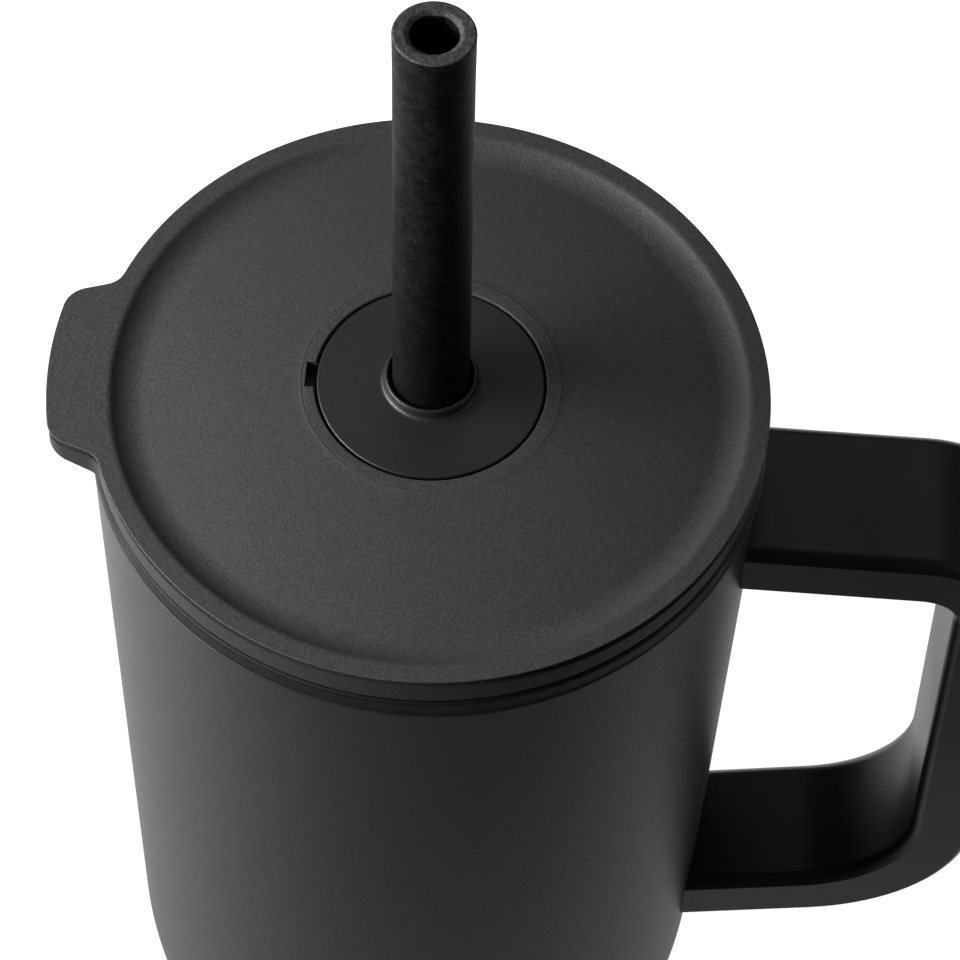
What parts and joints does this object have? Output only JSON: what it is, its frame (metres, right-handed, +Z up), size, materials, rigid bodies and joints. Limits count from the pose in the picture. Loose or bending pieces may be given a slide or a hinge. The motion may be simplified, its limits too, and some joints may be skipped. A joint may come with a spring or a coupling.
{
  "type": "insulated straw mug",
  "caption": "Double-walled travel mug with a strap handle, a tapered foot, a press-in lid with a pull tab, and a soft straw through a lift-out disc in the lid.",
  "frame": {"origin": "centre of the foot ring, on the surface that the mug stands on", "axes": "+Z up along the cup's axis, +X towards the handle, -X towards the lid's pull tab"},
  "size_m": [0.1504, 0.1022, 0.2916],
  "materials": {
    "powder_coat": "satin black powder coat on stainless steel",
    "bare_steel": "bare brushed stainless steel",
    "solder_glass": "opaque grey solder glass",
    "getter_alloy": "dull sintered alloy",
    "bracket_steel": "bare sheet steel",
    "handle_plastic": "black satin moulded plastic",
    "screw_steel": "stainless steel",
    "lid_plastic": "fine-grained matte black plastic",
    "seal_silicone": "soft silicone",
    "disc_plastic": "smooth satin black plastic",
    "straw_silicone": "matte black silicone with a dusty bloom",
    "tube_plastic": "black translucent-edged plastic"
  },
  "bodies": {
    "cup": {"outer_shell": "powder_coat", "inner_liner": "bare_steel", "shell_bottom": "bare_steel", "base_cap": "bare_steel", "vacuum_seal": "solder_glass", "getter": "getter_alloy", "upper_bracket": "bracket_steel", "lower_bracket": "bracket_steel", "handle": "handle_plastic", "handle_screws": "screw_steel", "screw_caps": "handle_plastic"},
    "lid": {"lid_cover": "lid_plastic", "lid_base": "lid_plastic", "lid_seal": "seal_silicone"},
    "straw_insert": {"straw_disc": "disc_plastic", "disc_seal": "seal_silicone", "straw_grommet": "seal_silicone", "grommet_ring": "disc_plastic"},
    "straw": {"straw_mouthpiece": "straw_silicone", "straw_tube": "tube_plastic"}
  },
  "joints": [
    {"name": "lid_lift", "type": "slide", "parent": "cup", "child": "lid", "axis": [0, 0, 1], "range_m": [0, 0.24]},
    {"name": "disc_lift", "type": "slide", "parent": "lid", "child": "straw_insert", "axis": [0, 0, 1], "range_m": [0, 0.2]},
    {"name": "straw_pull", "type": "slide", "parent": "straw_insert", "child": "straw", "axis": [0, 0, 1], "range_m": [0, 0.2]}
  ]
}
